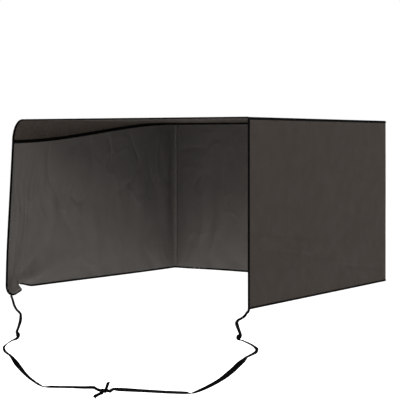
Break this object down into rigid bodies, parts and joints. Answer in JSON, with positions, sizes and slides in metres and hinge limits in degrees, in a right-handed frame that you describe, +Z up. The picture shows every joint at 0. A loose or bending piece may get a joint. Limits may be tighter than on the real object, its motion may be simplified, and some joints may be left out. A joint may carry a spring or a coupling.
{
  "type": "air conditioner cover",
  "caption": "Open-fronted fitted cloth cover for a window air conditioner, with dark coated cloth walls, black bound edges and a flat drawstring knotted below.",
  "frame": {"origin": "under the middle of the top panel, on the plane where the cloth lies on the unit", "axes": "+X to the right seen from the open front, +Y from the open front to the back, +Z up"},
  "size_m": [0.7474, 0.7567, 0.6768],
  "materials": {
    "cover_cloth": "coated plain weave, dark brown-grey, low sheen",
    "binding_tape": "black ribbed binding tape, matt",
    "drawstring_tape": "black woven flat tape, matt"
  },
  "bodies": {
    "root": {"top_panel": "cover_cloth", "left_panel": "cover_cloth", "right_panel": "cover_cloth", "back_panel": "cover_cloth", "top_seam_binding": "binding_tape", "hem_binding": "binding_tape", "front_casing": "binding_tape", "tie_left": "drawstring_tape", "tie_right": "drawstring_tape", "tie_knot": "drawstring_tape", "tie_tail_up": "drawstring_tape", "tie_tail_down": "drawstring_tape"}
  },
  "joints": []
}
